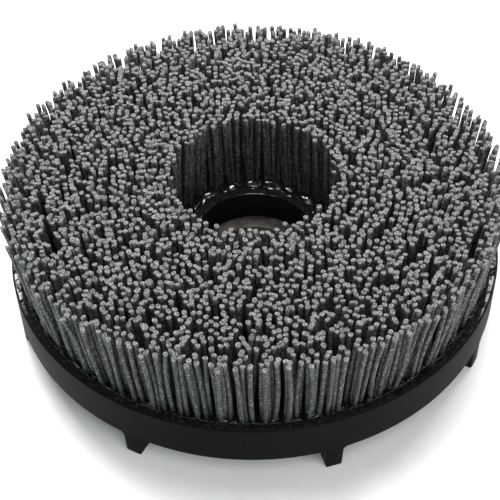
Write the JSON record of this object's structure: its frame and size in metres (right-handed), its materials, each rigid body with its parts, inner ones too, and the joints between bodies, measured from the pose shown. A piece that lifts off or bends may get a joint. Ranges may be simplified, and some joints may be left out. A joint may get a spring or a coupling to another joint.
{
  "type": "wheel brush",
  "caption": "Flat round disc brush: upright abrasive filament tufts set in resin in a black moulded disc with a deep counterbored hub and radial vanes on its back.",
  "frame": {"origin": "centre of the back face, on the brush's axis: the plane of the vanes' and the hub boss's ends", "axes": "+Z along the brush's axis towards the bristle tips; +X to the right and -Y towards the viewer"},
  "size_m": [0.15, 0.15, 0.048],
  "materials": {
    "moulding": "satin black moulded plastic, lightly scuffed and dusty",
    "steel": "dull brownish worn steel",
    "resin": "glossy black cast resin",
    "filament": "grey nylon filled with grit, lighter at the cut tips"
  },
  "bodies": {
    "root": {"backing_disc": "moulding", "arbor_bush": "steel", "resin_bed": "resin", "tuft_row_1_quarter_1": "filament", "tuft_row_1_quarter_2": "filament", "tuft_row_1_quarter_3": "filament", "tuft_row_1_quarter_4": "filament", "tuft_row_2_quarter_1": "filament", "tuft_row_2_quarter_2": "filament", "tuft_row_2_quarter_3": "filament", "tuft_row_2_quarter_4": "filament", "tuft_row_3_quarter_1": "filament", "tuft_row_3_quarter_2": "filament", "tuft_row_3_quarter_3": "filament", "tuft_row_3_quarter_4": "filament", "tuft_row_4_quarter_1": "filament", "tuft_row_4_quarter_2": "filament", "tuft_row_4_quarter_3": "filament", "tuft_row_4_quarter_4": "filament", "tuft_row_5_quarter_1": "filament", "tuft_row_5_quarter_2": "filament", "tuft_row_5_quarter_3": "filament", "tuft_row_5_quarter_4": "filament", "tuft_row_6_quarter_1": "filament", "tuft_row_6_quarter_2": "filament", "tuft_row_6_quarter_3": "filament", "tuft_row_6_quarter_4": "filament", "tuft_row_7_quarter_1": "filament", "tuft_row_7_quarter_2": "filament", "tuft_row_7_quarter_3": "filament", "tuft_row_7_quarter_4": "filament", "tuft_row_8_quarter_1": "filament", "tuft_row_8_quarter_2": "filament", "tuft_row_8_quarter_3": "filament", "tuft_row_8_quarter_4": "filament"}
  },
  "joints": []
}
